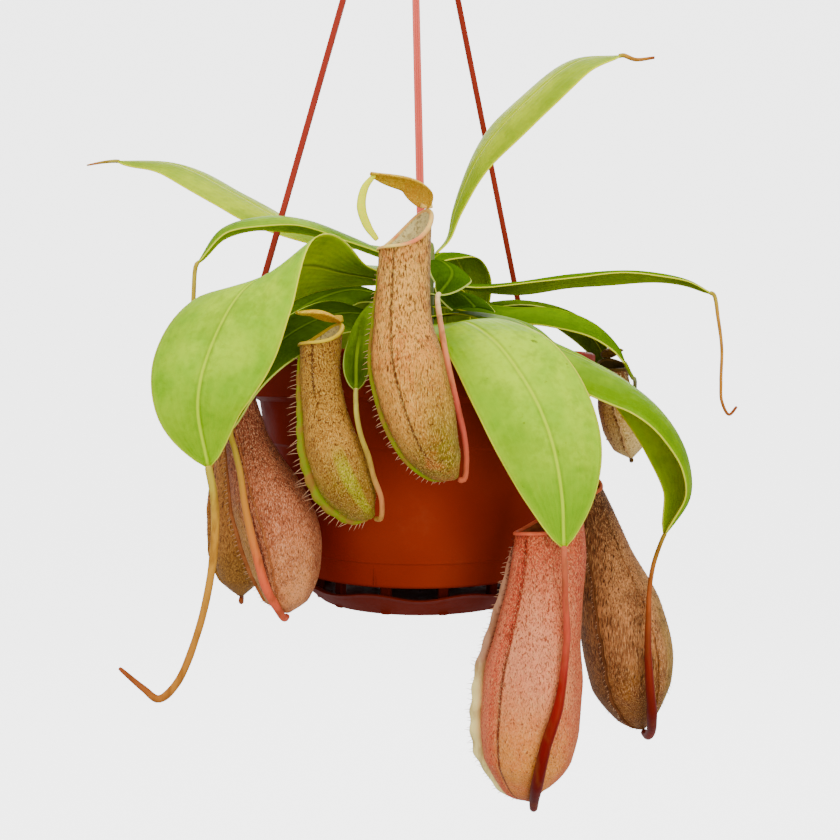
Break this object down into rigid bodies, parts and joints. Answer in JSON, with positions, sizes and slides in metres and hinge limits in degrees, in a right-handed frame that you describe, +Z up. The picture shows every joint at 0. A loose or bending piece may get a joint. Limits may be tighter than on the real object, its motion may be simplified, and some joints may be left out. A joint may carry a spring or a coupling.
{
  "type": "hanging pitcher plant",
  "caption": "A carnivorous pitcher plant in a round plastic pot with a clip-on saucer, hung from rods: strap leaves end in tendrils that carry lidded hollow cups",
  "frame": {"origin": "the inner crown of the hook, where its wire rests on the bracket that holds the pot", "axes": "+Z is up; the front, with the tallest pitcher and the front rod, looks along -Y; the front's right hand is +X"},
  "size_m": [0.2967, 0.2131, 0.4408],
  "materials": {
    "pot_plastic": "moulded, glossy terracotta red",
    "rod_plastic": "moulded, satin red",
    "soil": "loose peat and bark, matt",
    "stem_green": "green stem, satin",
    "leaf_green": "waxy leaf skin, satin",
    "leaf_lime": "thin young leaf skin, satin",
    "leaf_dark": "waxy leaf skin in shade, satin",
    "tendril_tan": "woody tendril, satin",
    "tendril_red": "young tendril, satin",
    "pitcher_tan": "leafy cup wall, satin",
    "pitcher_brown": "leafy cup wall, satin",
    "pitcher_pink": "leafy cup wall, satin",
    "lid_yellow": "leafy lid, satin"
  },
  "bodies": {
    "root": {"pot": "pot_plastic", "saucer": "pot_plastic", "stem": "stem_green", "soil": "soil", "rod_front": "rod_plastic", "rod_right": "rod_plastic", "rod_left": "rod_plastic", "hook": "rod_plastic", "leaf_lime_left": "leaf_lime", "leaf_arching_left": "leaf_dark", "leaf_broad_left": "leaf_green", "leaf_front_left": "leaf_dark", "leaf_low_left": "leaf_dark", "leaf_lime_right": "leaf_lime", "leaf_long_right": "leaf_green", "leaf_curling_right": "leaf_green", "leaf_back_right": "leaf_dark", "leaf_broad_front": "leaf_green", "leaf_arching_front": "leaf_green", "leaf_small_front": "leaf_dark", "leaf_back_dark": "leaf_dark", "leaf_folded_front": "leaf_green", "leaf_trimmed_front": "leaf_dark", "leaf_back_left": "leaf_green", "leaf_back_long": "leaf_dark", "leaf_back_middle": "leaf_dark", "pitcher_1": "pitcher_tan", "lid_1": "lid_yellow", "pitcher_2": "pitcher_tan", "lid_2": "lid_yellow", "pitcher_3": "pitcher_brown", "lid_3": "lid_yellow", "pitcher_4": "pitcher_brown", "lid_4": "lid_yellow", "pitcher_5": "pitcher_pink", "lid_5": "lid_yellow", "pitcher_6": "pitcher_brown", "lid_6": "lid_yellow", "pitcher_7": "pitcher_tan", "lid_7": "lid_yellow", "tendril_1": "tendril_red", "tendril_2": "tendril_tan", "tendril_3": "tendril_red", "tendril_4": "tendril_tan", "tendril_5": "tendril_red", "tendril_6": "tendril_red", "tendril_7": "tendril_tan", "tendril_lime_left": "tendril_tan", "tendril_broad_left": "tendril_tan", "tendril_lime_right": "tendril_tan", "tendril_long_right": "tendril_tan"}
  },
  "joints": []
}
